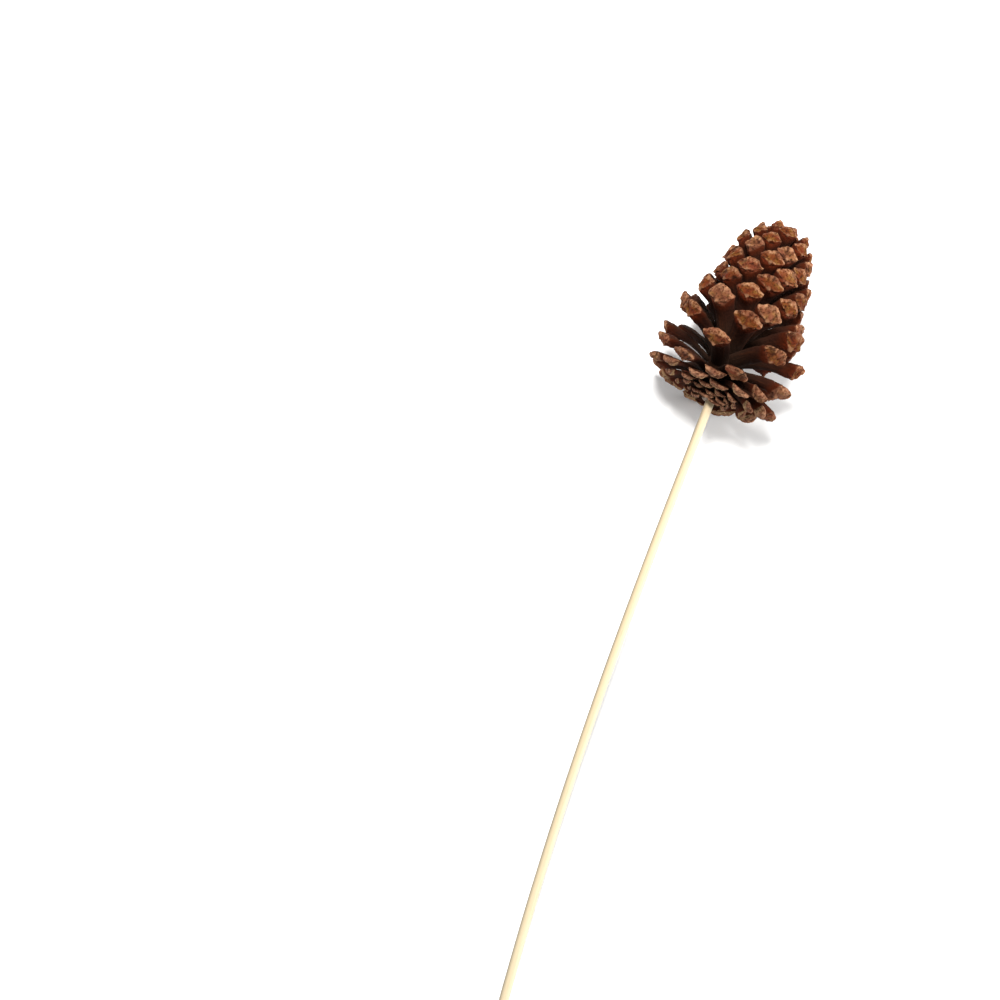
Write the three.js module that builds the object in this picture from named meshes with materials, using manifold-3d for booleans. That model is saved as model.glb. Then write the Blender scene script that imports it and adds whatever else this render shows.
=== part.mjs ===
// A pine cone pick: a dry, open pine cone on a slim peeled stick, lying on a table.
// Millimetres and degrees. The cone is built upright on its own axis, with the end of its core at height 0,
// and the whole pick is then laid down along +Y with its stick end and its widest scales on the table.

import * as THREE from "three";
import { mergeVertices } from "three/addons/utils/BufferGeometryUtils.js";
import Module from "manifold-3d";

const wasm = await Module();
wasm.setup();

// The pick as a whole
const pickLength = 400; // from the tip of the cone to the cut end of the stick
const restFlat = 1.3; // how much of the lowest scales is worn flat where the cone lies on them

// The stick and the glue that holds it in the cone
const stickDiameter = 4.5;
const stickDepth = 28; // how far the stick stands up inside the cone
const stickBow = 13; // how far the cut end has bent away from the line of the cone's axis
const bowPower = 2.6; // the bend grows towards the cut end
const stickSides = 12;
const stickSteps = 14;
const glueWall = 0.5;
const glueGap = 0.3; // between the stick and the glue, and between the glue and the cone
const beadTop = -0.85; // the bead of glue at the mouth of the hole starts just below the cone's slanting end,
const beadHeight = 1.5; // it is this high,
const beadSpread = 1.4; // and it spreads this far past the sleeve

// The woody core of the cone: radius and height from its cut end to its tip
const coreProfile = [
  [6.8, 0],
  [7.2, 8],
  [7.4, 30],
  [7.0, 45],
  [5.6, 63],
  [4.0, 76],
  [2.2, 84],
  [0, 88],
];
const coreSides = 14;
const coneLean = 3.5; // the cone isn't quite in line with the stick: it leans to the +X side,
const coneNod = 3.4; // it nods towards the table,
const coneOffset = -2.2; // and its end is a little off the middle of the stick

// The spiral of scales: each one stands a golden angle round from the one below it
const scaleCount = 111;
const goldenAngle = 137.508;
const spiralStart = 237.8;
const firstOpenScale = 34; // those below it are the small, packed scales of the base
const firstClosedScale = 66; // those from it on are nearly straight and stand close together
const lopsided = 5; // the scales on the +X side open this much wider, and those on the -X side less
const scaleTwist = -8; // every scale is turned a little about its own length
const rootSunk = 3.2; // how deep the root of a scale is buried in the core

// How the scales change from the first one at the base (at 0) to the last one at the tip: the height of the
// root on the core, the angle that the scale makes with the cone's axis half-way along, how much it bends
// outwards on its way, and its length, its width across the shield and the shield's thickness
const growth = [
  { at: 0, root: 2.6, open: 112, bend: 16, length: 5.5, width: 6.4, shield: 2.2 },
  { at: 13, root: 5.2, open: 109, bend: 20, length: 13.5, width: 9, shield: 2.8 },
  { at: 25, root: 7.6, open: 102, bend: 22, length: 23, width: 11.2, shield: 3.8 },
  { at: 37, root: 11.4, open: 93, bend: 24, length: 30, width: 12.8, shield: 5.2 },
  { at: 45, root: 20, open: 73, bend: 22, length: 31.5, width: 14, shield: 6.2 },
  { at: 55, root: 27.4, open: 55, bend: 15, length: 29.8, width: 14.4, shield: 6.8 },
  { at: 67, root: 41, open: 44, bend: 8, length: 24.4, width: 13.6, shield: 7 },
  { at: 79, root: 51.6, open: 40, bend: 5, length: 23, width: 12.8, shield: 6.8 },
  { at: 93, root: 63.6, open: 36, bend: 3, length: 22.2, width: 11.4, shield: 6.2 },
  { at: 105, root: 74, open: 28, bend: 2, length: 19.6, width: 9.2, shield: 5.2 },
  { at: 110, root: 77, open: 20, bend: 0, length: 18, width: 6.6, shield: 4.2 },
];

// The form of one scale from its root to its tip, as shares of its length, half width and shield thickness.
// "edge" is how far the side edges hang below the upper face. The shield is the thick lozenge at the end,
// with a keel across it and a small point, the umbo, in the middle of the keel.
const scaleForm = [
  { along: 0.0, wide: 0.46, deep: 0.36, edge: 0.1 },
  { along: 0.5, wide: 0.6, deep: 0.4, edge: 0.1 },
  { along: 0.7, wide: 0.8, deep: 0.54, edge: 0.12 },
  { along: 0.87, wide: 1.0, deep: 1.0, edge: 0.38 },
  { along: 1.0, wide: 0.52, deep: 0.36, edge: 0.08 },
];
const straightScaleForm = scaleForm.filter(({ along }) => along !== 0.5);
const umboStandOut = 0.12; // share of the shield's thickness
const undersideSpread = 0.52; // share of the half width, where the underside turns up to the edges
const undersideDepth = 0.8; // share of the thickness there

// How far one scale differs from the next. Each trait steps through its range by its own irrational stride,
// so the result looks random and is the same every time.
const variation = {
  open: { spread: 2, stride: 0.7548776662 },
  turn: { spread: 2.5, stride: 0.5698402910 },
  twist: { spread: 5, stride: 0.6180339887 },
  length: { spread: 0.045, stride: 0.4142135624 },
  width: { spread: 0.06, stride: 0.7320508076 },
};

const radians = THREE.MathUtils.degToRad;
const stickRadius = stickDiameter / 2;
const glueInner = stickRadius + glueGap;
const glueOuter = glueInner + glueWall;
const holeRadius = glueOuter + glueGap;
const holeDepth = stickDepth + glueGap;

function vary(trait, index) {
  const { spread, stride } = variation[trait];
  return spread * (2 * ((index * stride) % 1) - 1);
}

// The value of one trait for a scale, between the two stations on either side of it.
function grown(trait, index) {
  const above = Math.max(1, growth.findIndex(({ at }) => at >= index));
  const [low, high] = [growth[above - 1], growth[above]];
  return THREE.MathUtils.mapLinear(index, low.at, high.at, low[trait], high[trait]);
}

function coreRadius(height) {
  const above = Math.max(1, coreProfile.findIndex(([, level]) => level >= height));
  const [[lowRadius, lowLevel], [highRadius, highLevel]] = [coreProfile[above - 1], coreProfile[above]];
  return THREE.MathUtils.mapLinear(height, lowLevel, highLevel, lowRadius, highRadius);
}

// A closed geometry through rings that all have the same number of points, with a flat cap at both ends.
function loft(rings) {
  const sides = rings[0].length;
  const triangles = [];
  for (let ring = 0; ring < rings.length - 1; ring++) {
    for (let side = 0; side < sides; side++) {
      const a = ring * sides + side;
      const b = ring * sides + ((side + 1) % sides);
      triangles.push(a, b, b + sides, a, b + sides, a + sides);
    }
  }
  const last = (rings.length - 1) * sides;
  for (let side = 1; side < sides - 1; side++) {
    triangles.push(0, side + 1, side);
    triangles.push(last, last + side, last + side + 1);
  }
  return new THREE.BufferGeometry().setFromPoints(rings.flat()).setIndex(triangles);
}

// A solid of revolution about the upright axis, from a profile of [radius, height].
function turned(profile, sides) {
  const points = profile.map(([radius, height]) => new THREE.Vector2(radius, height));
  return new THREE.LatheGeometry(points, sides).rotateX(Math.PI / 2);
}

function solidOf(geometry) {
  const bare = geometry.clone();
  bare.deleteAttribute("normal");
  bare.deleteAttribute("uv");
  const merged = mergeVertices(bare);
  const vertProperties = merged.attributes.position.array;
  const triVerts = new Uint32Array(merged.index.array);
  return new wasm.Manifold(new wasm.Mesh({ numProp: 3, vertProperties, triVerts }));
}

function geometryOf(solid) {
  const { vertProperties, triVerts } = solid.getMesh();
  const geometry = new THREE.BufferGeometry();
  geometry.setAttribute("position", new THREE.BufferAttribute(vertProperties, 3));
  return geometry.setIndex(new THREE.BufferAttribute(triVerts, 1));
}

// One scale: rings of six points set along its bent centre line, from a root buried in the core.
function scaleGeometry(index) {
  const length = grown("length", index) * (1 + vary("length", index));
  const halfWidth = (grown("width", index) / 2) * (1 + vary("width", index));
  const shield = grown("shield", index);
  const root = grown("root", index);
  const turn = radians(spiralStart + index * goldenAngle + vary("turn", index));
  const bend = radians(grown("bend", index));
  const open = radians(grown("open", index) + lopsided * Math.cos(turn) + vary("open", index));
  const twist = radians(scaleTwist + vary("twist", index));

  const upward = new THREE.Vector3(0, 0, 1);
  const outward = new THREE.Vector3(Math.cos(turn), Math.sin(turn), 0);
  const across = new THREE.Vector3(-Math.sin(turn), Math.cos(turn), 0);
  const start = outward.clone().multiplyScalar(coreRadius(root)).addScaledVector(upward, root);

  const ringAt = ({ along, wide, deep, edge }) => {
    const angle = open + bend * (along - 0.5);
    const chordAngle = open + (bend * (along - 1)) / 2;
    const centre = start
      .clone()
      .addScaledVector(outward, along * length * Math.sin(chordAngle))
      .addScaledVector(upward, along * length * Math.cos(chordAngle));
    const back = upward.clone().multiplyScalar(Math.sin(angle)).addScaledVector(outward, -Math.cos(angle));
    const side = across.clone().multiplyScalar(Math.cos(twist)).addScaledVector(back, Math.sin(twist));
    const rise = back.clone().multiplyScalar(Math.cos(twist)).addScaledVector(across, -Math.sin(twist));
    const point = (x, z) =>
      centre.clone().addScaledVector(side, x * wide * halfWidth).addScaledVector(rise, z * shield);
    const umbo = deep === 1 ? umboStandOut : 0;
    return [
      point(-1, -edge),
      point(-undersideSpread, -undersideDepth * deep),
      point(0, -deep - umbo),
      point(undersideSpread, -undersideDepth * deep),
      point(1, -edge),
      point(0, 0),
    ];
  };
  const isBent = index >= firstOpenScale && index < firstClosedScale;
  const form = isBent ? scaleForm : straightScaleForm;
  const buriedRoot = { ...form[0], along: -rootSunk / length };
  return loft([buriedRoot, ...form].map(ringAt));
}

// The core with every scale joined to it, leant off the line of the stick, with the stick's hole up it.
function coneSolid() {
  const leant = (geometry) =>
    geometry.rotateY(radians(coneLean)).rotateX(-radians(coneNod)).translate(coneOffset, 0, 0);
  const core = solidOf(leant(turned([[0, 0], ...coreProfile], coreSides)));
  const scales = Array.from({ length: scaleCount }, (_, index) => solidOf(leant(scaleGeometry(index))));
  const drillProfile = [[0, -holeDepth], [holeRadius, -holeDepth], [holeRadius, holeDepth], [0, holeDepth]];
  const drill = solidOf(turned(drillProfile, stickSides));
  return wasm.Manifold.union([core, ...scales]).subtract(drill);
}

// The stick stands straight in the hole, and its free length bends gently to the +X side.
function stickGeometry(cutEnd) {
  const centres = [new THREE.Vector3(0, 0, stickDepth)];
  for (let step = 0; step <= stickSteps; step++) {
    const part = step / stickSteps;
    centres.push(new THREE.Vector3(stickBow * part ** bowPower, 0, cutEnd * part));
  }
  const ringAt = (centre) =>
    Array.from({ length: stickSides }, (_, side) => {
      const angle = Math.PI / 2 - (2 * Math.PI * side) / stickSides;
      const rim = new THREE.Vector3(Math.cos(angle), Math.sin(angle), 0);
      return rim.multiplyScalar(stickRadius).add(centre);
    });
  return loft(centres.map(ringAt));
}

// A thin sleeve of glue round the stick in the hole, with a low bead at the mouth.
function glueGeometry() {
  const beadBottom = beadTop - beadHeight;
  const profile = [
    [glueInner, stickDepth],
    [glueInner, beadBottom],
    [glueOuter, beadBottom],
    [glueOuter + beadSpread, beadTop],
    [glueOuter, beadTop],
    [glueOuter, stickDepth],
    [glueInner, stickDepth],
  ];
  return turned(profile, stickSides);
}

// The slope of the table against the stick: it touches the cut end of the stick and the lowest scales. On the
// upright cone the side that comes to lie on the table is the +Y side.
function tableSlope(solid, cutEnd) {
  const corners = solid.getMesh().vertProperties;
  let slope = 0;
  for (let i = 0; i < corners.length; i += 3) {
    const [reach, height] = [corners[i + 1], corners[i + 2]];
    slope = Math.max(slope, (reach - restFlat - stickRadius) / (height - cutEnd));
  }
  return slope;
}

function coneMaterial() {
  return new THREE.MeshStandardMaterial({ color: 0x8a5436, roughness: 0.75, metalness: 0 });
}

function stickMaterial() {
  return new THREE.MeshStandardMaterial({ color: 0xe6cf9f, roughness: 0.6, metalness: 0 });
}

function glueMaterial() {
  return new THREE.MeshStandardMaterial({ color: 0xd9c692, roughness: 0.4, metalness: 0 });
}

function subPart(name, geometry, material) {
  geometry.computeVertexNormals();
  const mesh = new THREE.Mesh(geometry, material);
  mesh.name = name;
  return mesh;
}

const roundCone = coneSolid();
const cutEnd = roundCone.boundingBox().max[2] - pickLength;
const lie = Math.atan(tableSlope(roundCone, cutEnd));
const tableUp = [0, -Math.cos(lie), Math.sin(lie)];
const tableLevel = cutEnd * Math.sin(lie) - stickRadius * Math.cos(lie);
const restingCone = roundCone.trimByPlane(tableUp, tableLevel);

const laidDown = new THREE.Group();
laidDown.add(subPart("pine_cone", geometryOf(restingCone), coneMaterial()));
laidDown.add(subPart("stick", stickGeometry(cutEnd), stickMaterial()));
laidDown.add(subPart("glue", glueGeometry(), glueMaterial()));
laidDown.rotation.x = lie - Math.PI / 2;
laidDown.position.z = -tableLevel;

// The origin is on the table, under the middle of the pick's box.
const pick = new THREE.Group();
pick.add(laidDown);
const middle = new THREE.Box3().setFromObject(pick, true).getCenter(new THREE.Vector3());
laidDown.position.x = -middle.x;
laidDown.position.y = -middle.y;

export default pick;
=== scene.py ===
# A pine cone pick: a dry, open pine cone on a slim peeled stick, lying on a pale table. In metres, apart from the
# table of the spiral, which is in millimetres; angles in the dictionaries are in degrees.
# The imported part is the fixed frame. The scales follow its spiral, scale by scale, with a finer form.

from math import atan2, cos, pi, radians, sin

import bpy
import numpy as np
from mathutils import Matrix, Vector


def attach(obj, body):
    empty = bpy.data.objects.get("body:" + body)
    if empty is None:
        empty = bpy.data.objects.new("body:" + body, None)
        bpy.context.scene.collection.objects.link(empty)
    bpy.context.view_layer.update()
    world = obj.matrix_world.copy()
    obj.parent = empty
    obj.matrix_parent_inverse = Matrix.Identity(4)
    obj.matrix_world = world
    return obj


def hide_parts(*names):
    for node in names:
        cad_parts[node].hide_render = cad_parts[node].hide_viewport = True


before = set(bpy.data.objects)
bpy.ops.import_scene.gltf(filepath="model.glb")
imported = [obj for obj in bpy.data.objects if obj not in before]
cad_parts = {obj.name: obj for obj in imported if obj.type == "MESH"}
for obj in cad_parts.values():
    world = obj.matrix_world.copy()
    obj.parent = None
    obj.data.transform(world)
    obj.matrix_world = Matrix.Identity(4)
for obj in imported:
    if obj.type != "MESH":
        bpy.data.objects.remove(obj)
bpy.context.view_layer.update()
mm = 0.001
print("frame loaded:", sorted(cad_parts))


# node trees, written as sums

class Wire:
    def __init__(self, tree, socket=None):
        self.tree, self.socket = tree, socket

    # a node of any kind: its settings first, then the values or links of its sockets
    def node(self, kind, settings=None, sockets=None, out=0):
        made = self.tree.nodes.new(kind)
        for name, value in (settings or {}).items():
            setattr(made, name, value)
        for name, value in (sockets or {}).items():
            if isinstance(value, Wire):
                self.tree.links.new(value.socket, made.inputs[name])
            else:
                made.inputs[name].default_value = value
        return Wire(self.tree, made.outputs[out] if len(made.outputs) else None)

    def other(self, name):  # another output of the same node
        return Wire(self.tree, self.socket.node.outputs[name])

    def math(self, operation, *values):
        return self.node("ShaderNodeMath", {"operation": operation}, dict(enumerate(values)))

    def __add__(self, value): return self.math("ADD", self, value)
    def __radd__(self, value): return self.math("ADD", value, self)
    def __sub__(self, value): return self.math("SUBTRACT", self, value)
    def __rsub__(self, value): return self.math("SUBTRACT", value, self)
    def __mul__(self, value): return self.math("MULTIPLY", self, value)
    def __rmul__(self, value): return self.math("MULTIPLY", value, self)
    def __truediv__(self, value): return self.math("DIVIDE", self, value)
    def __rtruediv__(self, value): return self.math("DIVIDE", value, self)
    def __pow__(self, value): return self.math("POWER", self, value)
    def __neg__(self): return self.math("MULTIPLY", self, -1.0)
    def __abs__(self): return self.math("ABSOLUTE", self)

    def rising(self, low, high):  # 0 below low, 1 above high, smooth between
        return self.node("ShaderNodeMapRange", {"interpolation_type": "SMOOTHSTEP"},
                         {0: self, 1: low, 2: high})

    # how much of a tone there is where this is high: limits are its start, where it's whole, and its share
    def over(self, limits):
        low, high, share = limits
        return self.rising(low, high) * share

    def below(self, limits):  # and where this is low
        low, high, share = limits
        return (1 - self.rising(low, high)) * share

    def atLeast(self, value):
        return self.math("MAXIMUM", self, value)

    def split(self):
        parts = self.node("ShaderNodeSeparateXYZ", None, {0: self})
        return parts, parts.other("Y"), parts.other("Z")

    def joined(self, x, y, z):
        return self.node("ShaderNodeCombineXYZ", None, {0: x, 1: y, 2: z})

    def vector(self, operation, value):
        return self.node("ShaderNodeVectorMath", {"operation": operation}, {0: self, 1: value})

    def mixed(self, low, high, share, blending="MIX"):  # from one colour to another
        low, high = ((*colour, 1) if isinstance(colour, tuple) else colour for colour in (low, high))
        return self.node("ShaderNodeMix", {"data_type": "RGBA", "blend_type": blending},
                         {0: share, 6: low, 7: high}, out=2)

    def blend(self, colour, share, blending="MIX"):  # this colour going over to another
        return self.mixed(self, colour, share, blending)


def noiseAt(place, scale, detail=2.0, roughness=0.55, seed=None, out="Fac"):
    settings = {"noise_dimensions": "3D" if seed is None else "4D"}
    sockets = {"Vector": place, "Scale": scale, "Detail": detail, "Roughness": roughness}
    if seed is not None:
        sockets["W"] = seed
    return place.node("ShaderNodeTexNoise", settings, sockets, out)


def newTree(name, sizes):
    tree = bpy.data.node_groups.new(name, "GeometryNodeTree")
    for label, kind in {"Geometry": "NodeSocketGeometry", **sizes}.items():
        tree.interface.new_socket(label, in_out="INPUT", socket_type=kind)
    tree.interface.new_socket("Geometry", in_out="OUTPUT", socket_type="NodeSocketGeometry")
    return tree, Wire(tree).node("NodeGroupInput", out="Geometry")


def closeTree(shape, finish):
    solid = shape.node("GeometryNodeRealizeInstances", None, {"Geometry": shape})
    solid = solid.node("GeometryNodeSetMaterial", None, {"Geometry": solid, "Material": finish})
    solid.node("NodeGroupOutput", None, {0: solid})


def linked(name, data):
    made = bpy.data.objects.new(name, data)
    bpy.context.scene.collection.objects.link(made)
    return made


def placed(name, mesh, smoothAngle, finish=None):
    mesh.name = name
    if finish:
        mesh.materials.append(finish)
    mesh.shade_smooth()
    mesh.set_sharp_from_angle(angle=radians(smoothAngle))
    return linked(name, mesh)


# a plain mesh from what a tree makes of an object
def grown(name, source, tree, values, smoothAngle):
    modifier = source.modifiers.new(name, "NODES")
    modifier.node_group = tree
    for item in tree.interface.items_tree:
        if item.in_out == "INPUT" and item.name in values:
            modifier[item.identifier] = values[item.name]
    graph = bpy.context.evaluated_depsgraph_get()
    mesh = bpy.data.meshes.new_from_object(source.evaluated_get(graph), preserve_all_data_layers=True,
                                           depsgraph=graph)
    source.modifiers.remove(modifier)
    bpy.data.objects.remove(source)
    return placed(name, mesh, smoothAngle)


def meshOf(name, points, faces, traits=None, edges=()):
    mesh = bpy.data.meshes.new(name)
    mesh.from_pydata([tuple(p) for p in points], edges, faces)
    for trait, values in (traits or {}).items():
        field = mesh.attributes.new(trait, "FLOAT", "POINT")
        field.data.foreach_set("value", np.asarray(values, np.float32))
    return mesh


# a closed skin through rings of equal count, with a point in the middle of both ends
def skinned(name, rings):
    sides, count = len(rings[0]), len(rings)
    points = [p for ring in rings for p in ring] + [np.mean(rings[0], 0), np.mean(rings[-1], 0)]
    faces = []
    for side in range(sides):
        after = (side + 1) % sides
        for row in range(count - 1):
            a, b = row * sides, (row + 1) * sides
            faces.append((a + side, a + after, b + after, b + side))
        faces.append((count * sides, after, side))
        faces.append((count * sides + 1, (count - 1) * sides + side, (count - 1) * sides + after))
    return meshOf(name, points, faces)


def newFinish(name):
    material = bpy.data.materials.new(name)
    material.use_nodes = True
    material.node_tree.nodes.clear()
    return material, Wire(material.node_tree)


def finishWith(wire, looks, colour, roughness, height):
    bump = wire.node("ShaderNodeBump", None, {
        "Height": height, "Distance": looks["bumpDepth"], "Strength": looks["bumpStrength"]})
    shader = wire.node("ShaderNodeBsdfPrincipled", None, {
        "Base Color": colour, "Roughness": roughness, "Normal": bump, "Specular IOR Level": looks["specular"]})
    wire.node("ShaderNodeOutputMaterial", None, {"Surface": shader})


# where the frame has the stick: its line, the mouth of the hole, and its cut end with its bow

pick = {
    "stickDepth": 28 * mm, "stickRadius": 2.25 * mm, "bowPower": 2.6, "tableClear": 0.1 * mm,
    # how long a ring of the frame's points is, and the room before the next one
    "ringReach": 4 * mm, "ringGap": 10 * mm,
}


def single(points):  # each place once
    return np.unique(np.round(points, 6), axis=0)


def ringAt(points, end):  # the points at the top end (1) or the cut end (-1)
    level = end * points[:, 1]
    return points[level > level.max() - pick["ringReach"]]


stickPoints = np.array([v.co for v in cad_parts["stick"].data.vertices])
topRing = single(ringAt(stickPoints, 1))
lowPart = single(stickPoints[stickPoints[:, 1] < topRing[:, 1].min() - pick["ringGap"]])
mouthRing, cutRing = ringAt(lowPart, 1), ringAt(lowPart, -1)
mouth = Vector(mouthRing.mean(0))
stickLine = (Vector(topRing.mean(0)) - mouth).normalized()
lie = atan2(stickLine.z, stickLine.y)
downLine = stickLine.cross(Vector((1, 0, 0)))
cutEnd = (Vector(cutRing.mean(0)) - mouth).dot(stickLine)
bow = cutRing[:, 0].mean() - mouth.x


def laidDown(x, y, z):  # from the upright cone to the table
    return mouth + Vector((x, 0, 0)) + downLine * y + stickLine * z


# the spiral of scales

spiral = {
    "count": 111, "golden": 137.508, "start": 237.8, "lopsided": 5.0, "twist": -8.0,
    "lean": 3.5, "nod": 3.4, "offset": -2.2 * mm,
    "core": [(6.8, 0), (7.2, 8), (7.4, 30), (7.0, 45), (5.6, 63), (4.0, 76), (2.2, 84), (0, 88)],
    # number, height of the root, opening angle, bend, length, width, thickness of the shield
    "growth": np.array([
        (0, 2.6, 112, 16, 5.5, 6.4, 2.2), (13, 5.2, 109, 20, 13.5, 9, 2.8), (25, 7.6, 102, 22, 23, 11.2, 3.8),
        (37, 11.4, 93, 24, 30, 12.8, 5.2), (45, 20, 73, 22, 31.5, 14, 6.2), (55, 27.4, 55, 15, 29.8, 14.4, 6.8),
        (67, 41, 44, 8, 24.4, 13.6, 7), (79, 51.6, 40, 5, 23, 12.8, 6.8), (93, 63.6, 36, 3, 22.2, 11.4, 6.2),
        (105, 74, 28, 2, 19.6, 9.2, 5.2), (110, 77, 20, 0, 18, 6.6, 4.2)]),
    # how far a scale differs from the next: the spread, and an irrational stride through it
    "open": (2.0, 0.7548776662), "turn": (2.5, 0.5698402910), "tilt": (5.0, 0.6180339887),
    "length": (0.045, 0.4142135624), "width": (0.06, 0.7320508076), "tint": (1.0, 0.3247179572),
    "seedStep": 3.7,
    # small lips below the first scale, closing in on the stick: their count, and the last one's traits
    "hub": {"count": 18, "radius": 4.5, "asideCurve": 0.5,
            "height": 0.2, "open": 134, "bend": 14, "length": 5.2, "width": 8.4, "shield": 2.1},
    # the bud of small, nearly shut scales inside the tip: their count, and the last one's traits
    "bud": {"count": 14, "height": 85.5, "open": 3, "bend": 0, "length": 6.5, "width": 3.6, "shield": 2.4},
    "groups": {"cone_hub_scales": (-18, 16), "cone_base_scales": (16, 34), "cone_open_scales": (34, 66),
               "cone_upper_scales": (66, 98), "cone_tip_scales": (98, 125)},
}

hub, bud = spiral["hub"], spiral["bud"]
number = np.arange(-hub["count"], spiral["count"] + bud["count"])


def vary(trait):
    spread, stride = spiral[trait]
    return spread * (2 * ((number * stride) % 1) - 1)


def lastTraits(scales):
    return [scales[trait] for trait in ("height", "open", "bend", "length", "width", "shield")]


stations = np.vstack([
    (-hub["count"], *lastTraits(hub)), spiral["growth"],
    (spiral["count"] + bud["count"] - 1, *lastTraits(bud))])
root, opening, bend, length, width, thickness = (
    np.interp(number, stations[:, 0], stations[:, column]) for column in range(1, 7))
coreHeights = [height for radius, height in spiral["core"]]
coreRadii = [radius for radius, height in spiral["core"]]
turn = np.radians(spiral["start"] + number * spiral["golden"] + vary("turn"))
scaleTraits = {
    "turn": turn,
    "open": np.radians(opening + spiral["lopsided"] * np.cos(turn) + vary("open")),
    "bend": np.radians(bend),
    "twist": np.radians(spiral["twist"] + vary("tilt")),
    "reach": length * (1 + vary("length")) * mm,
    "halfWidth": width / 2 * (1 + vary("width")) * mm,
    "thick": thickness * mm,
    "rootHeight": root * mm,
    "rootRadius": np.where(number < 0, np.interp(number, (-hub["count"], 0), (hub["radius"], coreRadii[0])),
                           np.interp(root, coreHeights, coreRadii)) * mm,
    # the lips stand round the stick, which is off the core's middle
    "aside": np.clip(-number / hub["count"], 0, 1) ** hub["asideCurve"] * -spiral["offset"],
    "seed": number * spiral["seedStep"],
    "tint": vary("tint"),
    "age": np.clip(number / (spiral["count"] - 1), 0, 1),
}


# one scale, in shares of its half width, its length and the thickness of its shield

scale = {
    "across": 24, "bodyRows": 11, "shieldRows": 20, "layers": 3,
    "rootStart": -0.13, "rootWide": 0.64, "widening": 2.9,
    # the lower edge of the shield, from its middle to its corner, then its upper edge
    "footLine": ((0, 0.45, 1), (0.705, 0.742, 0.858)),
    "tipLine": ((0, 0.36, 1), (1.0, 0.983, 0.876)),
    "keel": 0.40,                                          # share of the way up the shield
    # depths of the body at four places along it, then those of its edge, the corners, the rim and the keel
    "bodyPlaces": (0, 0.6, 0.8, 1), "bodyDeep": (0.46, 0.52, 0.68, 0.97), "bodyRound": 0.8,
    "edgeDeep": 0.18, "edgeCurve": 4, "cornerDeep": 0.60, "cornerFall": 0.12, "cornerTop": 0.26,
    "topCurve": 1.8, "topFall": 0.06, "topFallCurve": 3,
    "rimDeep": 0.36, "rimFall": ((0.75, 1), (0.25, 2.2)),  # shares of the fall from the keel, and their powers
    "keelDeep": 1.05, "keelCurve": 1.2, "keelFlatter": 0.6,
    "umboHigh": 0.09, "umboWide": 0.20, "umboLow": 3.6, "spikeHigh": 0.06, "spikeWide": 0.08,
    "rounding": 0.035, "sideRound": 6, "tipRounding": 0.6, "tipRound": 4,
}
# the scales of the base are flatter, like lips whose corners curl up
baseScale = {
    **scale, "footLine": ((0, 0.45, 1), (0.77, 0.79, 0.86)),
    "tipLine": ((0, 0.5, 0.8, 1), (1.0, 0.985, 0.95, 0.89)),
    "bodyDeep": (0.40, 0.42, 0.52, 0.76), "keelDeep": 0.86, "keelCurve": 3.2, "cornerDeep": 0.10,
    "cornerTop": -0.06, "rimDeep": 0.50, "umboHigh": 0.04, "spikeHigh": 0.03,
}
hubScale = {
    **baseScale, "footLine": ((0, 0.45, 1), (0.83, 0.845, 0.885)), "bodyDeep": (0.40, 0.42, 0.50, 0.70),
    "keelDeep": 0.80,
}
scaleForms = {"cone_hub_scales": hubScale, "cone_base_scales": baseScale}


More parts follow.
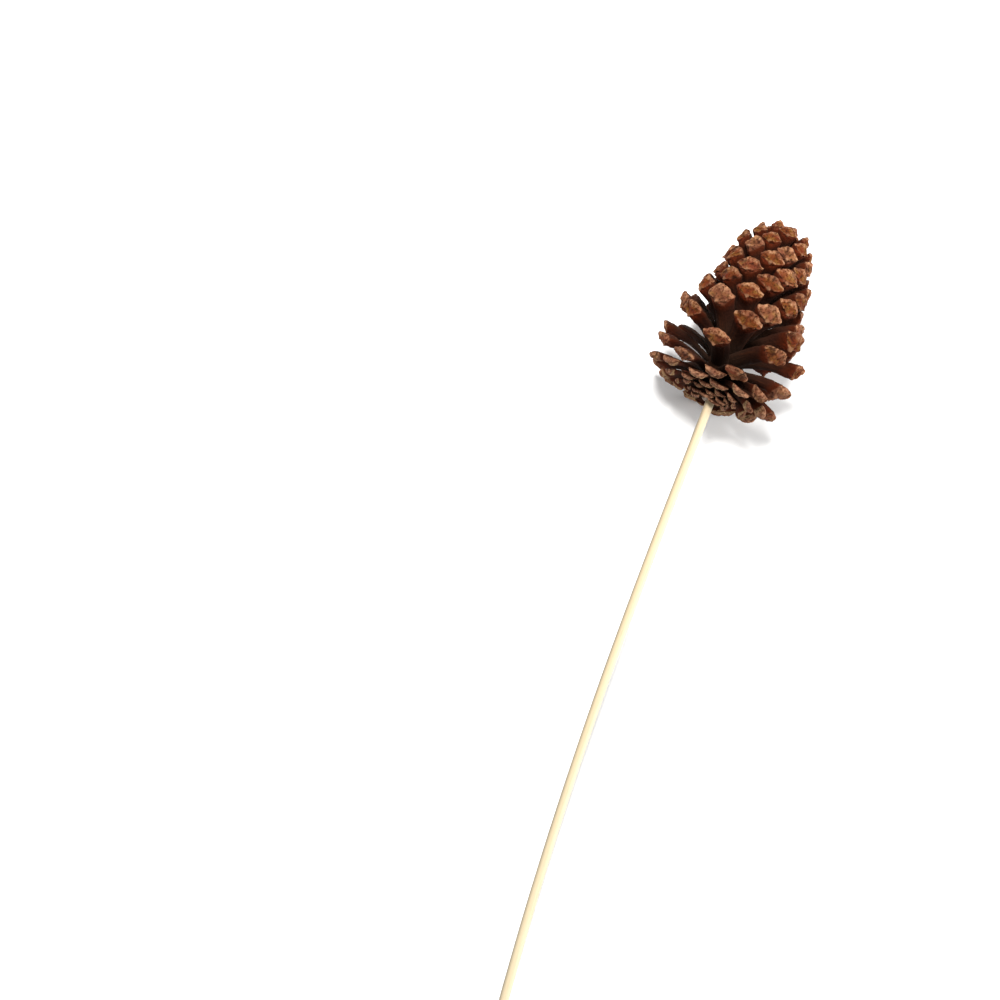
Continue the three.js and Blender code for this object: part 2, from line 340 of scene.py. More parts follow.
def scaleMesh(s):
    across = np.linspace(-1, 1, s["across"] + 1)
    off = np.abs(across)
    foot, tip = np.interp(off, *s["footLine"]), np.interp(off, *s["tipLine"])
    under, over, fields = [], [], []

    # the flat body, from the root to the foot of the shield
    for row in range(s["bodyRows"]):
        share = row / s["bodyRows"]
        wide = across * (s["rootWide"] + (1 - s["rootWide"]) * share ** s["widening"])
        along = s["rootStart"] + (foot - s["rootStart"]) * share
        curl = share ** s["edgeCurve"]
        low, high = s["edgeDeep"] + (s["cornerDeep"] - s["edgeDeep"]) * curl, s["cornerTop"] * curl
        deep = np.interp(share, s["bodyPlaces"], s["bodyDeep"])
        under.append((wide, along, -low - (deep - low) * (1 - off ** 2) ** s["bodyRound"]))
        over.append((wide, along, -high * off ** s["topCurve"]))
        fields.append(share - 1)

    # the shield, with its keel and the umbo in the middle
    for row in range(s["shieldRows"] + 1):
        share = row / s["shieldRows"]
        along = foot + (tip - foot) * share
        above = max(0, (share - s["keel"]) / (1 - s["keel"]))
        deep = np.interp(share, (0, s["keel"]), (s["bodyDeep"][-1], s["keelDeep"]))
        deep -= (s["keelDeep"] - s["rimDeep"]) * sum(part * above ** power for part, power in s["rimFall"])
        corner = s["cornerDeep"] - s["cornerFall"] * above
        z = -corner - (deep - corner) * (1 - off ** (s["keelCurve"] + s["keelFlatter"] * above))
        away = np.hypot(across, (along - (foot + (tip - foot) * s["keel"])) * s["umboLow"])
        umbo = s["umboHigh"] * np.exp(-(away / s["umboWide"]) ** 2)
        spike = s["spikeHigh"] * np.exp(-(away / s["spikeWide"]) ** 2)
        under.append((across, along, z - (umbo + spike)))
        top = -s["cornerTop"] * off ** s["topCurve"] - s["topFall"] * above ** s["topFallCurve"]
        over.append((across, along, top))
        fields.append(share)

    # the skin of a block of rows, columns and layers
    rows, columns, layers = len(under) - 1, s["across"], s["layers"]
    points, traits, index = [], {"across": [], "field": [], "inner": []}, {}
    for row in range(rows + 1):
        for layer in range(layers + 1):
            for column in range(columns + 1):
                if 0 < row < rows and 0 < layer < layers and 0 < column < columns:
                    continue
                share = layer / layers
                low, high = (np.array([part[column] for part in face[row]]) for face in (under, over))
                x, y, z = low + (high - low) * share
                bulge = s["rounding"] * sin(pi * share)
                x += bulge * across[column] * off[column] ** s["sideRound"]
                y += bulge * s["tipRounding"] * (row == rows) * (1 - off[column] ** s["tipRound"])
                index[row, column, layer] = len(points)
                points.append((x, y, z))
                traits["across"].append(across[column])
                traits["field"].append(fields[row])
                traits["inner"].append(share)
    faces = []

    def sheet(first, second, corner):
        for i in range(first):
            for j in range(second):
                faces.append([index[corner(*at)] for at in ((i, j), (i, j + 1), (i + 1, j + 1), (i + 1, j))])

    sheet(rows, columns, lambda i, j: (i, j, 0))
    sheet(columns, rows, lambda i, j: (j, i, layers))
    sheet(layers, rows, lambda i, j: (j, 0, i))
    sheet(rows, layers, lambda i, j: (i, columns, j))
    sheet(columns, layers, lambda i, j: (0, i, j))
    sheet(layers, columns, lambda i, j: (rows, j, i))
    return meshOf("scale", points, faces, traits)


# the finish of the scales: brown shields with a darker, redder lower half that is partly painted shade, on bodies
# that go dark towards the core

coneFinish = {
    "upperField": (0.130, 0.032, 0.008), "tanField": (0.180, 0.076, 0.016), "redField": (0.115, 0.018, 0.007),
    # on the next line: the lower field colour is redder wood and partly painted shade, the pale edge colour is
    # wear and partly painted highlight, and the dark pit colour is dark specks and painted shade in the wrinkle
    # hollows
    "lowerFieldRedAndShade": (0.095, 0.015, 0.004), "paleWearAndHighlight": (0.42, 0.218, 0.122), "pit": (0.026, 0.007, 0.003),
    "umbo": (0.24, 0.12, 0.065), "grey": (0.205, 0.116, 0.070), "lipRim": (0.35, 0.218, 0.108),
    "band": (0.056, 0.010, 0.003), "body": (0.031, 0.0095, 0.0053), "deep": (0.023, 0.0108, 0.0064),
    "streak": (0.052, 0.016, 0.007), "innerFace": (0.045, 0.014, 0.007), "seedPrint": (0.125, 0.060, 0.030),
    "roughness": (0.45, 0.85), "bumpDepth": 0.9 * mm, "bumpStrength": 1.0, "specular": 0.05,
    # noises: how fine, how detailed, how rough
    "broad": (150.0, 3.0, 0.55), "patch": (260.0, 2.0, 0.55), "fine": (750.0, 5.0, 0.68),
    "speck": (2200.0, 3.0, 0.6), "streaks": (1.0, 3.0, 0.6),
    "streakStretch": (4.5, 0.9, 1.5), "streakStep": 30.0,
    # tones of the shield: where each starts, where it is whole, and its share
    "tanPatch": (0.48, 0.70, 0.9), "redPatch": (0.32, 0.50, 0.8), "lowerHalf": (-0.07, 0.02, 1.0),
    "greyBase": (0.12, 0.42, 0.62), "greyTint": (0.0, 1.0, 0.3),
    "lipBase": (0.16, 0.34, 1.0), "lipLow": (0.45, 0.72, 1.0), "lipGrain": (0.28, 0.50, 0.8),
    "lipHigh": (0.55, 0.85, 0.5),
    # pale keel, rim and side edges: wear, and partly painted highlight
    "keelEdge": (0.0, 0.10, 0.5), "rimEdge": (0.80, 0.98, 0.7), "sideEdge": (0.80, 1.0, 0.5),
    "edgeMarkGrain": (0.34, 0.62, 1.0), "edgeMarkPatch": (0.4, 0.6, 0.55), "edgeMarkLeast": 0.45,
    # painted highlight on the wrinkle crests, painted shade in their hollows
    "crestPaintedHighlight": (0.55, 0.70, 1.0), "highGrain": (0.44, 0.66, 0.55),
    "hollowPaintedShade": (0.37, 0.52, 0.9), "lowGrain": (0.34, 0.49, 0.8),
    "umboSpot": (0.006, 0.04, 0.6), "umboLow": 1.6,
    # tones of the body and of the upper face
    "bodyOut": (-0.75, -0.15, 1.0), "streakTone": (0.50, 0.68, 0.7), "streakOut": (-0.95, -0.35, 1.0),
    "bandEdge": (-0.22, -0.03, 1.0), "shieldEdge": (-0.035, 0.03, 1.0),
    "faceOut": (-0.6, 0.2, 1.0), "faceRim": (0.72, 0.98, 0.8), "faceEdge": (0.35, 0.85, 1.0),
    "seedAside": 0.40, "seedSpread": 0.12, "seedWide": (0.14, 0.30, 1.0), "seedRoot": (-0.95, -0.65, 1.0),
    "seedTip": (-0.15, 0.15, 1.0), "seedStreak": (0.35, 0.65, 0.65), "seedLeast": 0.35, "seedShare": 0.75,
    # how far the edges of tones waver, and how much the light and the height of the wood change
    "lowerWaver": 0.08, "bandWaver": 0.14, "shieldWaver": 0.06,
    "tintLight": 0.18, "broadLight": 0.5, "speckLight": 0.5,
    "smoothOut": (-0.1, 0.3, 1.0), "smoothGrain": (0.3, 0.7, 1.0),
    "fineHigh": 0.75, "speckHigh": 0.25, "streakHigh": (-0.12, 0.04, 0.5),
}


def scaleFinish():
    f = coneFinish
    material, wire = newFinish("coneScaleWood")
    place = wire.node("ShaderNodeTexCoord", out="Object")
    across, field, inner, tint, age, crease = (
        wire.node("ShaderNodeAttribute", {"attribute_name": name}, out="Fac")
        for name in ("across", "field", "inner", "tint", "age", "crease"))
    broad, patch, fine, speck = (noiseAt(place, *f[name]) for name in ("broad", "patch", "fine", "speck"))

    # the shield: patches of tan and red, a lower half that is partly painted shade, pale wear along its keel and
    # rim that is partly painted highlight, a painted highlight on the crests of its wrinkles, painted shade in
    # their hollows, and dark specks
    above = field - scale["keel"]
    fromKeel, fromMiddle = abs(above), abs(across)
    shield = wire.mixed(f["upperField"], f["tanField"], patch.over(f["tanPatch"]))
    shield = shield.blend(f["redField"], patch.below(f["redPatch"]))
    # the lower half below the keel: redder wood, darkened as painted shade
    shield = shield.blend(f["lowerFieldRedAndShade"], (above + f["lowerWaver"] * (broad - 0.5)).below(f["lowerHalf"]))
    shield = shield.blend(f["grey"], age.below(f["greyBase"]) + tint.over(f["greyTint"]))
    lip = age.below(f["lipBase"])
    shield = shield.blend(f["lipRim"], lip * field.below(f["lipLow"]) * fine.over(f["lipGrain"]))
    shield = shield.blend(f["redField"], lip * field.over(f["lipHigh"]))
    # pale along the keel, the rim and the sides, broken up by grain: wear, and partly painted highlight
    edge = fromKeel.below(f["keelEdge"]) + field.over(f["rimEdge"]) + fromMiddle.over(f["sideEdge"])
    wearAndHighlightBreakup = fine.over(f["edgeMarkGrain"]) * (f["edgeMarkLeast"] + patch.over(f["edgeMarkPatch"]))
    shield = shield.blend(f["paleWearAndHighlight"], edge * wearAndHighlightBreakup)
    # painted highlight on the raised crests of the wrinkles
    shield = shield.blend(f["paleWearAndHighlight"], crease.over(f["crestPaintedHighlight"]) * fine.over(f["highGrain"]))
    # painted shade in the sunken hollows of the wrinkles
    shield = shield.blend(f["pit"], crease.below(f["hollowPaintedShade"]))
    shield = shield.blend(f["pit"], fine.below(f["lowGrain"]))
    spot = across * across + above * above * f["umboLow"]
    shield = shield.blend(f["umbo"], spot.below(f["umboSpot"]))

    # the body: streaked lengthwise, reddish under the shield and nearly black at the core
    wide, long, thick = f["streakStretch"]
    streaks = wire.joined(across * wide + tint * f["streakStep"], field * long, inner * thick)
    streaks = noiseAt(streaks, *f["streaks"])
    body = wire.mixed(f["deep"], f["body"], field.over(f["bodyOut"]))
    body = body.blend(f["streak"], streaks.over(f["streakTone"]) * field.over(f["streakOut"]))
    body = body.blend(f["band"], (field + f["bandWaver"] * (fine - 0.5)).over(f["bandEdge"]))
    wood = body.blend(shield, (field + f["shieldWaver"] * (fine - 0.5)).over(f["shieldEdge"]))

    # the upper face, with the pale prints of its two winged seeds
    face = wire.mixed(f["deep"], f["innerFace"], field.over(f["faceOut"]))
    fromPrint = abs(fromMiddle - f["seedAside"] - f["seedSpread"] * field)
    seedPrint = fromPrint.below(f["seedWide"]) * field.over(f["seedRoot"]) * field.below(f["seedTip"])
    seedPrint = seedPrint * (f["seedLeast"] + streaks.over(f["seedStreak"])) * f["seedShare"]
    face = face.blend(f["seedPrint"], seedPrint)
    face = face.blend(shield, field.over(f["faceRim"]))
    wood = wood.blend(face, inner.over(f["faceEdge"]))
    light = 1 + f["tintLight"] * tint + f["broadLight"] * (broad - 0.5) + f["speckLight"] * (speck - 0.5)
    wood = wood.blend(wire.joined(light, light, light), 1.0, "MULTIPLY")

    low, high = f["roughness"]
    roughness = high - (high - low) * field.over(f["smoothOut"]) * fine.over(f["smoothGrain"])
    height = fine * f["fineHigh"] + speck * f["speckHigh"] + streaks * field.below(f["streakHigh"])
    finishWith(wire, f, wood, roughness, height)
    return material


# the tree that sets a scale on each point of the spiral, bends it, and lays the cone down

coneForm = {
    "ragged": 0.26, "wrinkle": 0.24, "pit": 0.17, "pattern": 4.0, "smoothAngle": 32,
    # noises: how they are stretched, how detailed and rough they are, and where each begins
    "stirStretch": (2.3, 7.5, 1.1), "stir": (1.0, 2.0, 0.5), "crease": (1.0, 3.0, 0.6), "creaseSeed": 11.0,
    "pitStretch": (5.5, 18.0, 5.0), "pitGrain": (1.0, 2.0, 0.6), "pitSeed": 23.0, "creaseShare": 0.6,
    # wrinkles run out from the umbo
    "umboPlace": 0.85, "umboLow": 13.0, "umboLeast": 0.0004, "umboEdge": (0.12, 0.5),
    "rays": 2.1, "rayLow": 3.6, "rayRipple": 0.9,
    # how far along a scale its shield begins, and where and how it is ragged lengthwise and in depth
    "shieldEdge": (-0.15, 0.25), "raggedOut": (-0.8, 0.2), "raggedTip": (-0.3, 0.6), "raggedLong": 0.42,
    "raggedDeep": 1.5,
}


def scaleTree():
    f = coneForm
    tree, given = newTree("scales on a spiral", {
        "Scale": "NodeSocketObject", "Finish": "NodeSocketMaterial", "Mouth": "NodeSocketVector",
        "Lean": "NodeSocketFloat", "Nod": "NodeSocketFloat", "Offset": "NodeSocketFloat", "Lie": "NodeSocketFloat",
        "Ragged": "NodeSocketFloat", "Wrinkle": "NodeSocketFloat", "Pit": "NodeSocketFloat",
        "Pattern": "NodeSocketFloat", "Table": "NodeSocketFloat"})

    def trait(name):
        return given.node("GeometryNodeInputNamedAttribute", {"data_type": "FLOAT"}, {"Name": name})

    template = given.node("GeometryNodeObjectInfo", None, {"Object": given.other("Scale")}, out="Geometry")
    scales = given.node("GeometryNodeInstanceOnPoints", None, {"Points": given, "Instance": template})
    scales = given.node("GeometryNodeRealizeInstances", None, {"Geometry": scales})

    # the grain of each scale: a ragged outline, and wrinkles that run out from the umbo
    place = given.node("GeometryNodeInputPosition")
    x, along, z = place.split()
    field, inner = trait("field"), trait("inner")
    seed = trait("seed") + given.other("Pattern")
    stir = noiseAt(place.vector("MULTIPLY", f["stirStretch"]), *f["stir"], seed, "Color")
    stirX, stirY, stirZ = stir.split()
    onShield = field.rising(*f["shieldEdge"])
    up = along - f["umboPlace"]
    outDistance = (x * x + up * up * f["umboLow"] + f["umboLeast"]) ** 0.5
    rays = given.joined(x / outDistance * f["rays"], up * f["rayLow"] / outDistance * f["rays"],
                        outDistance * f["rayRipple"])
    crease = noiseAt(rays, *f["crease"], seed + f["creaseSeed"])
    wrinkle = (crease - 0.5) * outDistance.rising(*f["umboEdge"]) * onShield * (1 - inner)
    wrinkle = wrinkle * given.other("Wrinkle") * 2.0
    pit = noiseAt(place.vector("MULTIPLY", f["pitStretch"]), *f["pitGrain"], seed + f["pitSeed"])
    wrinkle = wrinkle + (pit - 0.5) * onShield * (1 - inner) * given.other("Pit") * 2.0
    crease = crease * f["creaseShare"] + pit * (1 - f["creaseShare"])
    ragged = given.other("Ragged")
    x = x + (stirX - 0.5) * ragged * field.rising(*f["raggedOut"])
    along = along + (stirY - 0.5) * ragged * f["raggedLong"] * field.rising(*f["raggedTip"])
    z = z + (stirZ - 0.5) * ragged * f["raggedDeep"] * field.rising(*f["raggedOut"]) - wrinkle

    # along the bent line of the scale, out from the core
    bow, opened, twist, turned = trait("bend"), trait("open"), trait("twist"), trait("turn")
    angle = opened + bow * (along - 0.5)
    chord = opened + bow * (along - 1.0) * 0.5
    sideways, upright = x * trait("halfWidth"), z * trait("thick")
    cosTwist, sinTwist = twist.math("COSINE", twist), twist.math("SINE", twist)
    tangent = sideways * cosTwist - upright * sinTwist
    back = sideways * sinTwist + upright * cosTwist
    far = along * trait("reach")
    radius = trait("rootRadius") + far * chord.math("SINE", chord) - back * angle.math("COSINE", angle)
    level = trait("rootHeight") + far * chord.math("COSINE", chord) + back * angle.math("SINE", angle)
    cosTurn, sinTurn = turned.math("COSINE", turned), turned.math("SINE", turned)
    stood = given.joined(radius * cosTurn - tangent * sinTurn + trait("aside"),
                         radius * sinTurn + tangent * cosTurn, level)

    def rotated(vector, axis, amount):
        return vector.node("ShaderNodeVectorRotate", {"rotation_type": axis},
                           {"Vector": vector, "Angle": amount})

    stood = rotated(rotated(stood, "Y_AXIS", given.other("Lean")), "X_AXIS", -given.other("Nod"))
    stood = stood.vector("ADD", given.joined(given.other("Offset"), 0.0, 0.0))
    laid = rotated(stood, "X_AXIS", given.other("Lie") - pi / 2).vector("ADD", given.other("Mouth"))
    laidX, laidY, laidZ = laid.split()
    laid = given.joined(laidX, laidY, laidZ.atLeast(given.other("Table")))
    scales = given.node("GeometryNodeStoreNamedAttribute", {"data_type": "FLOAT", "domain": "POINT"},
                        {"Geometry": scales, "Name": "crease", "Value": crease})
    scales = given.node("GeometryNodeSetPosition", None, {"Geometry": scales, "Position": laid})
    closeTree(scales, given.other("Finish"))
    return tree


scaleWood = scaleFinish()
spiralTree = scaleTree()
conePieces = []
for name, (first, last) in spiral["groups"].items():
    template = linked("scale_template", scaleMesh(scaleForms.get(name, scale)))
    template.data.materials.append(scaleWood)
    inGroup = (number >= first) & (number < last)
    roots = meshOf(name + "_roots", np.zeros((last - first, 3)), [],
                   {trait: values[inGroup] for trait, values in scaleTraits.items()})
    conePieces.append(grown(name, linked(name + "_roots", roots), spiralTree, {
        "Scale": template, "Finish": scaleWood, "Lean": radians(spiral["lean"]), "Nod": radians(spiral["nod"]),
        "Offset": spiral["offset"], "Lie": lie, "Mouth": list(mouth), "Ragged": coneForm["ragged"],
        "Wrinkle": coneForm["wrinkle"], "Pit": coneForm["pit"], "Pattern": coneForm["pattern"],
        "Table": pick["tableClear"]}, coneForm["smoothAngle"]))
    bpy.data.objects.remove(template)
print("scales:", {piece.name: len(piece.data.polygons) for piece in conePieces})


# the woody core, with the hole for the stick

core = {
    "sides": 40, "hole": 3.35 * mm, "holeLevels": (28.3 * mm, 10 * mm, 0), "tipLeast": 0.4, "smoothAngle": 40,
    "colour": (0.034, 0.014, 0.007), "roughness": 0.85, "specular": 0.08, "grain": (500.0, 3.0), "mottle": 0.8,
    "bumpDepth": 0.3 * mm, "bumpStrength": 0.3,
}


def coreMesh():
    lean, nod = radians(spiral["lean"]), radians(spiral["nod"])

    def leant(x, y, z):
        x, z = x * cos(lean) + z * sin(lean), z * cos(lean) - x * sin(lean)
        y, z = y * cos(nod) + z * sin(nod), z * cos(nod) - y * sin(nod)
        return laidDown(x + spiral["offset"], y, z)

    angles = [2 * pi * side / core["sides"] for side in range(core["sides"])]
    hole = [(core["hole"], level) for level in core["holeLevels"]]
    rings = [[laidDown(r * cos(a), r * sin(a), h) for a in angles] for r, h in hole]
    outside = [(max(radius, core["tipLeast"]) * mm, height * mm) for radius, height in spiral["core"]]
    rings += [[leant(r * cos(a), r * sin(a), h) for a in angles] for r, h in outside]
    return skinned("cone_core", rings)


def plainFinish(name, looks):  # one colour, lightly mottled
    material, wire = newFinish(name)
    place = wire.node("ShaderNodeTexCoord", out="Object")
    grain = noiseAt(place, *looks["grain"])
    light = 1 + looks["mottle"] * (grain - 0.5)
    tone = wire.joined(light, light, light).blend(looks["colour"], 1.0, "MULTIPLY")
    finishWith(wire, looks, tone, looks["roughness"], grain)
    return material


conePieces.append(placed("cone_core", coreMesh(), core["smoothAngle"], plainFinish("coneCoreWood", core)))
print("core made")


# the peeled stick, along the frame's own line

stick = {
    "steps": 120, "holeSteps": 8, "holeTop": 0.8, "sides": 40, "chamfer": 0.35 * mm, "smoothAngle": 35,
    "wobble": 0.10 * mm, "wobbleStretch": (240.0, 55.0, 240.0), "wobbleGrain": (1.0, 2.0, 0.5), "pattern": 2.0,
    "tan": (0.50, 0.40, 0.25), "pale": (0.56, 0.49, 0.345), "grain": (0.47, 0.365, 0.225),
    # on the next line, the streak colour is painted shade along the left edge of the stick
    "fleck": (0.36, 0.255, 0.135), "streak": (0.14, 0.127, 0.100), "nearMouthBrown": (0.33, 0.22, 0.11),
    "endGrain": (0.30, 0.20, 0.105),
    # noises: how they are stretched, how detailed and how rough
    "grainNoise": ((1500.0, 26.0, 1500.0), (1.0, 4.0, 0.6)),
    "fibreNoise": ((4200.0, 60.0, 4200.0), (1.0, 2.0, 0.55)),
    "fleckNoise": ((2400.0, 170.0, 2400.0), (1.0, 2.0, 0.55)),
    # tones: where each starts, where it is whole, and its share
    # across the stick: the paler right side is painted light, and the dark streak along the left edge is painted
    # shade
    "litSidePlace": (-0.3, 1.0, 1.0), "shadedSidePlace": (-1.10, -0.32, 0.9),        # across the stick, in radii
    "paleEnd": (-0.30, -0.10, 0.35), "nearMouthPlace": (-14 * mm, 2 * mm, 0.55),  # along it, from the mouth
    "grainTone": (0.48, 0.74, 0.55), "fibreTone": (0.56, 0.76, 0.3), "fleckTone": (0.66, 0.76, 0.5),
    "acrossWaver": 0.25, "nearMouthWaver": 6 * mm,
    # the cut end: its rings and its pith
    "ringWidth": 0.55 * mm, "ringWaver": 0.3 * mm, "ringShare": 0.45, "pith": (0.3 * mm, 0.6 * mm, 0.5),
    "endLeast": 0.25, "endStart": 0.05 * mm,
    "roughness": 0.55, "grainHigh": 0.6, "fibreHigh": 0.4, "bumpDepth": 0.15 * mm, "bumpStrength": 0.6,
    "specular": 0.4,
}


def stickTree():
    tree, given = newTree("stick along its line", {
        "Finish": "NodeSocketMaterial", "Radius": "NodeSocketFloat", "Sides": "NodeSocketInt",
        "Wobble": "NodeSocketFloat", "Pattern": "NodeSocketFloat", "Table": "NodeSocketFloat"})
    line = given.node("GeometryNodeMeshToCurve", None, {0: given})
    ring = given.node("GeometryNodeCurvePrimitiveCircle", {"mode": "RADIUS"},
                      {"Resolution": given.other("Sides"), "Radius": given.other("Radius")})
    slim = given.node("GeometryNodeInputNamedAttribute", {"data_type": "FLOAT"}, {"Name": "slim"})
    tube = given.node("GeometryNodeCurveToMesh", None, {
        "Curve": line, "Profile Curve": ring, "Scale": slim, "Fill Caps": True})
    place, wobble = given.node("GeometryNodeInputPosition"), given.other("Wobble")
    stir = noiseAt(place.vector("MULTIPLY", stick["wobbleStretch"]), *stick["wobbleGrain"],
                   given.other("Pattern"), "Color")
    moved = stir.vector("SUBTRACT", (0.5, 0.5, 0.5)).vector("MULTIPLY", given.joined(wobble, 0.0, wobble))
    x, y, z = place.vector("ADD", moved).split()
    tube = given.node("GeometryNodeSetPosition", None, {
        "Geometry": tube, "Position": given.joined(x, y, z.atLeast(given.other("Table")))})
    closeTree(tube, given.other("Finish"))
    return tree


def stickFinish():
    s = stick
    material, wire = newFinish("stickWood")

    # places along the stick's own bent line, so that the grain follows it
    place = wire.node("ShaderNodeTexCoord", out="Object").vector("SUBTRACT", tuple(mouth))
    level = place.vector("DOT_PRODUCT", tuple(stickLine)).other("Value")
    depth = place.vector("DOT_PRODUCT", tuple(downLine)).other("Value")
    part = (level / cutEnd).atLeast(0.0)
    side = place.split()[0] - bow * part ** pick["bowPower"]
    place = wire.joined(side, level, depth)
    grain, fibre, fleck = (
        noiseAt(place.vector("MULTIPLY", stretch), *detail)
        for stretch, detail in (s["grainNoise"], s["fibreNoise"], s["fleckNoise"]))

    across = side / pick["stickRadius"] + s["acrossWaver"] * (grain - 0.5)
    # tan on the left going pale towards the right: the paler right side is painted light
    tone = wire.mixed(s["tan"], s["pale"], across.over(s["litSidePlace"]))
    tone = tone.blend(s["pale"], level.below(s["paleEnd"]))
    tone = tone.blend(s["grain"], grain.over(s["grainTone"]))
    tone = tone.blend(s["fleck"], fibre.over(s["fibreTone"]) + fleck.over(s["fleckTone"]))
    # a dark streak along the left edge: painted shade
    tone = tone.blend(s["streak"], across.below(s["shadedSidePlace"]))
    # darker brown towards the mouth of the hole
    tone = tone.blend(s["nearMouthBrown"], (level + s["nearMouthWaver"] * (fibre - 0.5)).over(s["nearMouthPlace"]))

    # the cut end, with its rings and its pith
    middle = (side * side + depth * depth) ** 0.5
    rings = (middle + s["ringWaver"] * (grain - 0.5)) * (2 * pi / s["ringWidth"])
    end = (0.5 + 0.5 * rings.math("SINE", rings)) * s["ringShare"] + middle.below(s["pith"]) + s["endLeast"]
    end = end * (1 - level.rising(cutEnd + s["endStart"], cutEnd + s["chamfer"]))
    tone = tone.blend(s["endGrain"], end)
    finishWith(wire, s, tone, s["roughness"], grain * s["grainHigh"] + fibre * s["fibreHigh"])
    return material


def stickLineMesh():
    depth, chamfer = pick["stickDepth"], stick["chamfer"]
    levels = [depth, depth - chamfer, *np.linspace(depth * stick["holeTop"], 0, stick["holeSteps"]),
              *np.linspace(0, cutEnd + chamfer, stick["steps"])[1:], cutEnd]
    points = [laidDown(bow * max(level / cutEnd, 0) ** pick["bowPower"], 0, level) for level in levels]
    slim = np.ones(len(points))
    slim[[0, -1]] = 1 - chamfer / pick["stickRadius"]
    return meshOf("stick_line", points, [], {"slim": slim}, [(i, i + 1) for i in range(len(points) - 1)])


stickPiece = grown("peeled_stick", linked("stick_line", stickLineMesh()), stickTree(), {
    "Finish": stickFinish(), "Radius": pick["stickRadius"], "Sides": stick["sides"], "Wobble": stick["wobble"],
    "Pattern": stick["pattern"], "Table": pick["tableClear"]}, stick["smoothAngle"])
print("stick made:", len(stickPiece.data.polygons), "faces")


# the glue: a sleeve round the stick in the hole, and a low bead at the mouth

glue = {
    "sides": 40, "inner": 2.55 * mm, "outer": 3.05 * mm, "beadTop": -0.85 * mm, "beadHeight": 1.5 * mm,
    "beadSpread": 1.4 * mm, "beadSteps": 9,
    "shoulderSpread": 0.6, "shoulderHigh": 0.12 * mm, "neckHigh": 0.15 * mm,
    "swell": ((0.10, 3, 0.7), (0.06, 5, 0)),               # how far the bead swells, how often, from where
    "smoothAngle": 40, "colour": (0.11, 0.060, 0.026), "roughness": 0.5, "specular": 0.4, "grain": (700.0, 3.0),
    "mottle": 0.3, "bumpDepth": 0.3 * mm, "bumpStrength": 0.3,
}


def glueMesh():
    g = glue
    bottom = g["beadTop"] - g["beadHeight"]
    bead = [(g["outer"] + g["beadSpread"] * cos(t), g["beadTop"] - g["beadHeight"] * sin(t))
            for t in np.linspace(pi / 2, 0, g["beadSteps"])]
    profile = [
        (g["inner"], pick["stickDepth"]), (g["inner"], 0), (g["inner"], bottom), *bead,
        (g["outer"] + g["shoulderSpread"] * g["beadSpread"], g["beadTop"] + g["shoulderHigh"]),
        (g["outer"], g["beadTop"] + g["neckHigh"]), (g["outer"], pick["stickDepth"])]
    angles = [2 * pi * side / g["sides"] for side in range(g["sides"])]
    waves = [sum(size * sin(often * a + start) for size, often, start in g["swell"]) for a in angles]
    rings = []
    for r, h in profile:
        swell = [1 + wave * max(0, r - g["outer"]) / g["beadSpread"] for wave in waves]
        rings.append([laidDown(r * w * cos(a), r * w * sin(a), h) for a, w in zip(angles, swell)])
    points = [p for ring in rings for p in ring]
    faces, sides = [], g["sides"]
    for row in range(len(rings)):
        a, b = row * sides, (row + 1) % len(rings) * sides
        for side in range(sides):
            after = (side + 1) % sides
            faces.append((a + side, a + after, b + after, b + side))
    return meshOf("dried_glue", points, faces)


gluePiece = placed("dried_glue", glueMesh(), glue["smoothAngle"], plainFinish("driedGlue", glue))
print("glue made")

for piece in conePieces:
    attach(piece, "root")
    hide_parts("pine_cone")
for piece, node, slot in ((stickPiece, "stick", "stick_wood"), (gluePiece, "glue", "dried_glue")):
    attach(piece, "root")
    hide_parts(node)


# the pale table, the soft light and the camera

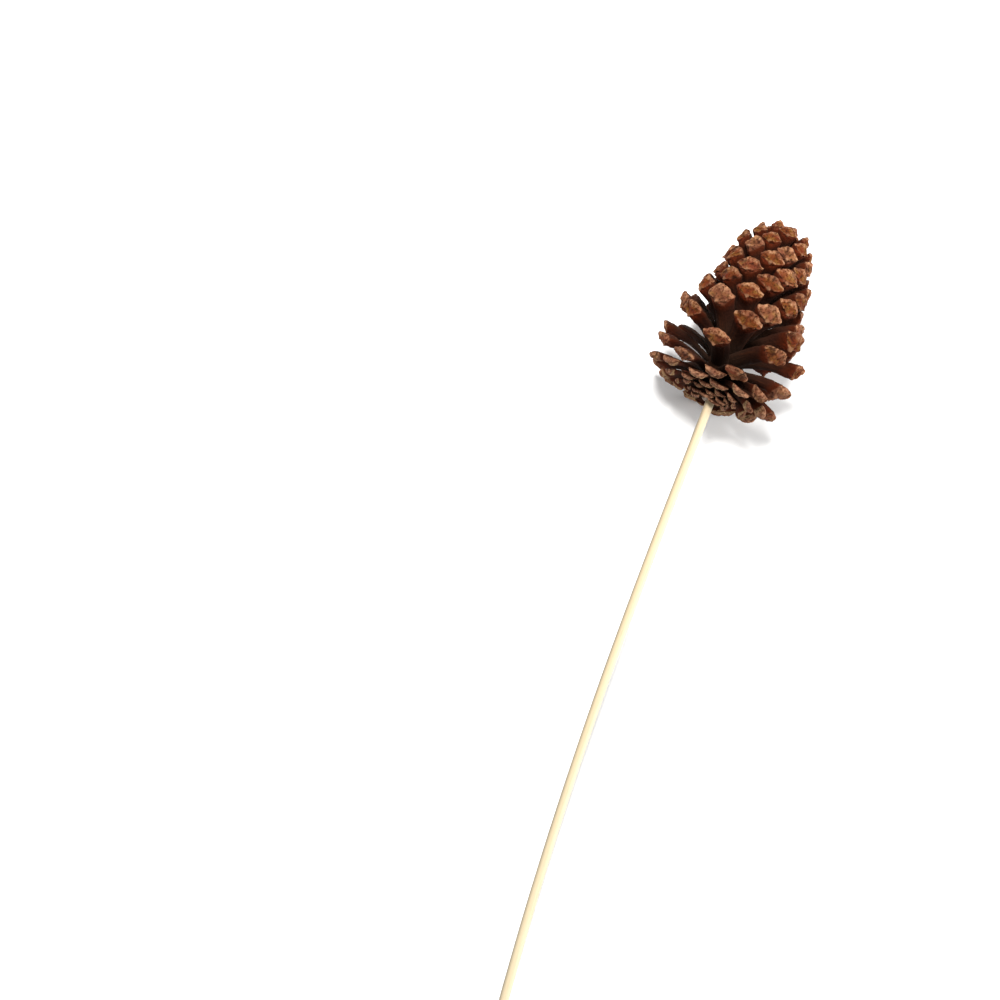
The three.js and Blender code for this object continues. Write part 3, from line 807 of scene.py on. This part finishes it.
studio = {
    "table": 6.0, "tableColour": (0.88, 0.885, 0.89), "tableRoughness": 0.8, "tableSpecular": 0.2,
    "sky": 0.61, "skyColour": (1.0, 1.0, 1.0),
    # lamps, placed by how far they are to the right and to the top of the picture
    "lampTarget": (0, 0.1, 0.02), "lampDistance": 1.3, "lampColour": (1.0, 0.985, 0.96),
    "lampPower": 26.5, "lampSize": 0.36, "lampAside": -0.12, "lampUp": 0.47,
    "fillPower": 18.0, "fillSize": 0.9, "fillAside": 3.2, "fillUp": 0.0,
    "cameraAround": 22.165, "cameraAbove": 78.0, "cameraAway": 686.4 * mm,
    "cameraAim": (-0.0786, 0.0209, 0.020), "lens": 50.0, "sensor": 36.0,
}


def studioSet():
    s = studio
    half = s["table"] / 2
    corners = [(-half, -half, 0), (half, -half, 0), (half, half, 0), (-half, half, 0)]
    table = linked("table_top", meshOf("table_top", corners, [(0, 1, 2, 3)]))
    material, wire = newFinish("tablePaper")
    shader = wire.node("ShaderNodeBsdfPrincipled", None, {
        "Base Color": (*s["tableColour"], 1), "Roughness": s["tableRoughness"],
        "Specular IOR Level": s["tableSpecular"]})
    wire.node("ShaderNodeOutputMaterial", None, {"Surface": shader})
    table.data.materials.append(material)

    world = bpy.data.worlds.new("softRoom")
    bpy.context.scene.world = world
    world.use_nodes = True
    sky = world.node_tree.nodes["Background"].inputs
    sky["Color"].default_value = (*s["skyColour"], 1)
    sky["Strength"].default_value = s["sky"]
    bpy.context.scene.view_settings.view_transform = "Standard"

    around, above = radians(s["cameraAround"]), radians(s["cameraAbove"])
    back = Vector((sin(around) * cos(above), -cos(around) * cos(above), sin(above)))
    right = Vector((cos(around), sin(around), 0))
    up = back.cross(right)
    camera = linked("camera", bpy.data.cameras.new("camera"))
    camera.data.lens, camera.data.sensor_width = s["lens"], s["sensor"]
    camera.location = Vector(s["cameraAim"]) + back * s["cameraAway"]
    camera.rotation_euler = (pi / 2 - above, 0, around)
    bpy.context.scene.camera = camera

    for name, part in (("soft_lamp", "lamp"), ("fill_lamp", "fill")):
        light = linked(name, bpy.data.lights.new(name, "AREA"))
        light.data.shape, light.data.size = "DISK", s[part + "Size"]
        light.data.energy, light.data.color = s[part + "Power"], s["lampColour"]
        toLight = (right * s[part + "Aside"] + up * s[part + "Up"] + back).normalized()
        light.location = Vector(s["lampTarget"]) + toLight * s["lampDistance"]
        light.rotation_euler = toLight.to_track_quat("Z", "Y").to_euler()


studioSet()
print("studio set")
